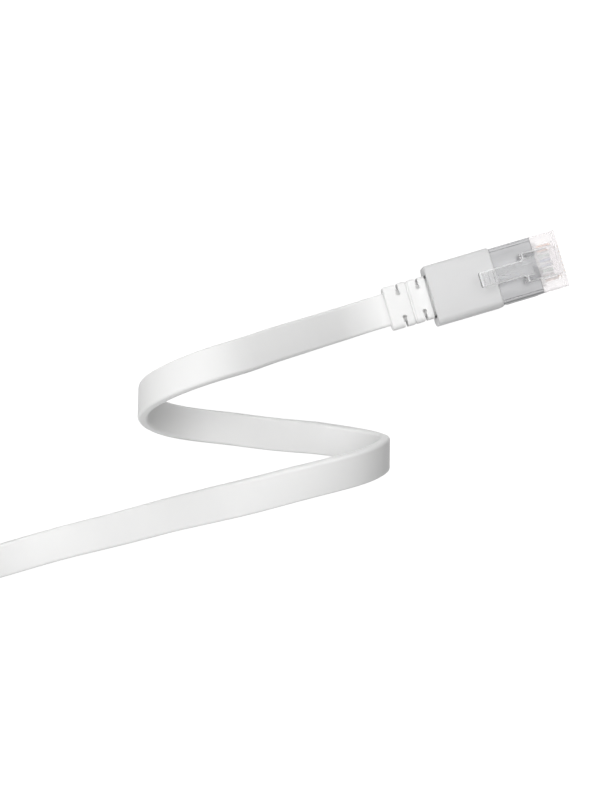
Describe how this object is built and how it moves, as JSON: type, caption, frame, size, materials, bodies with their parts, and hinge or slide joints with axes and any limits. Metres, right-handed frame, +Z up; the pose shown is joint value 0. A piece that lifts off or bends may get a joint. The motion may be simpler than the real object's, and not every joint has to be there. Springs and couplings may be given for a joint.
{
  "type": "ethernet patch cable",
  "caption": "Flat white shielded patch cord with a clear-nosed eight-contact modular plug, moulded hood and slotted strain relief on each end.",
  "frame": {"origin": "bottom centre of the near plug assembly, on the surface that the cord lies on", "axes": "+X along the near plug towards its nose, +Z up, out of the plug's latch side; +Y across the plug"},
  "size_m": [0.1998, 0.086, 0.031],
  "materials": {
    "clear_plastic": "clear moulded polycarbonate",
    "shield_metal": "satin nickel plate",
    "load_bar_plastic": "translucent white",
    "hood_plastic": "satin white moulded",
    "relief_plastic": "soft matt white moulded",
    "cable_jacket": "matt white flexible jacket",
    "contact_gold": "polished gold plate",
    "copper": "bright copper",
    "wire_white": "smooth insulation",
    "wire_orange": "smooth insulation",
    "wire_blue": "smooth insulation",
    "wire_green": "smooth insulation",
    "wire_brown": "smooth insulation",
    "tie_fabric": "woven hook-and-loop strap"
  },
  "bodies": {
    "root": {"near_housing": "clear_plastic", "near_shield": "shield_metal", "near_load_bar": "load_bar_plastic", "near_hood": "hood_plastic", "near_strain_relief": "relief_plastic", "near_jacket_end": "cable_jacket", "near_copper_cores": "copper", "far_housing": "clear_plastic", "far_shield": "shield_metal", "far_load_bar": "load_bar_plastic", "far_hood": "hood_plastic", "far_strain_relief": "relief_plastic", "far_jacket_end": "cable_jacket", "far_copper_cores": "copper", "near_contact_1": "contact_gold", "near_contact_2": "contact_gold", "near_contact_3": "contact_gold", "near_contact_4": "contact_gold", "near_contact_5": "contact_gold", "near_contact_6": "contact_gold", "near_contact_7": "contact_gold", "near_contact_8": "contact_gold", "far_contact_1": "contact_gold", "far_contact_2": "contact_gold", "far_contact_3": "contact_gold", "far_contact_4": "contact_gold", "far_contact_5": "contact_gold", "far_contact_6": "contact_gold", "far_contact_7": "contact_gold", "far_contact_8": "contact_gold", "near_wire_1": "wire_white", "near_wire_2": "wire_orange", "near_wire_3": "wire_white", "near_wire_4": "wire_blue", "near_wire_5": "wire_white", "near_wire_6": "wire_green", "near_wire_7": "wire_white", "near_wire_8": "wire_brown", "far_wire_1": "wire_white", "far_wire_2": "wire_orange", "far_wire_3": "wire_white", "far_wire_4": "wire_blue", "far_wire_5": "wire_white", "far_wire_6": "wire_green", "far_wire_7": "wire_white", "far_wire_8": "wire_brown", "cable_run": "cable_jacket", "cable_coil": "cable_jacket", "coil_ties": "tie_fabric"},
    "near_latch": {"near_latch": "clear_plastic"},
    "far_latch": {"far_latch": "clear_plastic"}
  },
  "joints": [
    {"name": "near_latch_hinge", "type": "hinge", "parent": "root", "child": "near_latch", "pos_m": [0.0169, 0, 0.0079], "axis": [0, -1, 0], "range_deg": [0, 7.5], "stiffness_Nm_per_rad": 0.02},
    {"name": "far_latch_hinge", "type": "hinge", "parent": "root", "child": "far_latch", "pos_m": [-0.11705, 0.00734, 0.0062], "axis": [0, 0, -1], "range_deg": [0, 7.5], "stiffness_Nm_per_rad": 0.02}
  ]
}
